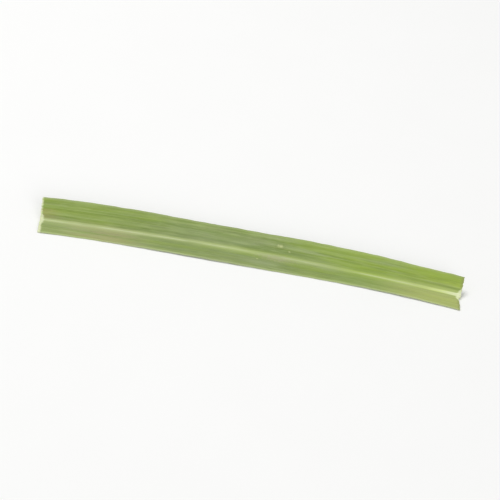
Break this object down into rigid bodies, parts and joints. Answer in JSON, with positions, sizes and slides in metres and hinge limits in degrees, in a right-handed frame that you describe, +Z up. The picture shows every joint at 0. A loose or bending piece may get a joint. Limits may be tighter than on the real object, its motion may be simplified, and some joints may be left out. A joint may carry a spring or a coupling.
{
  "type": "lemongrass leaf piece",
  "caption": "One cut length of fresh lemongrass leaf: a long green blade folded along a pale midrib, with a keel beneath and square-cut ends, lying on its keel and one margin.",
  "frame": {"origin": "under the middle of the piece's box, on the surface that it lies on", "axes": "+X along the blade, from the cut nearer the plant's base to the cut nearer the leaf's tip; +Y across it, from the half that lies down to the half that stands up; +Z up"},
  "size_m": [0.151, 0.016, 0.007],
  "materials": {
    "leaf_tissue": "satin, waxy, with fine lengthwise veins and a pale midrib"
  },
  "bodies": {
    "root": {"leaf_blade": "leaf_tissue"}
  },
  "joints": []
}
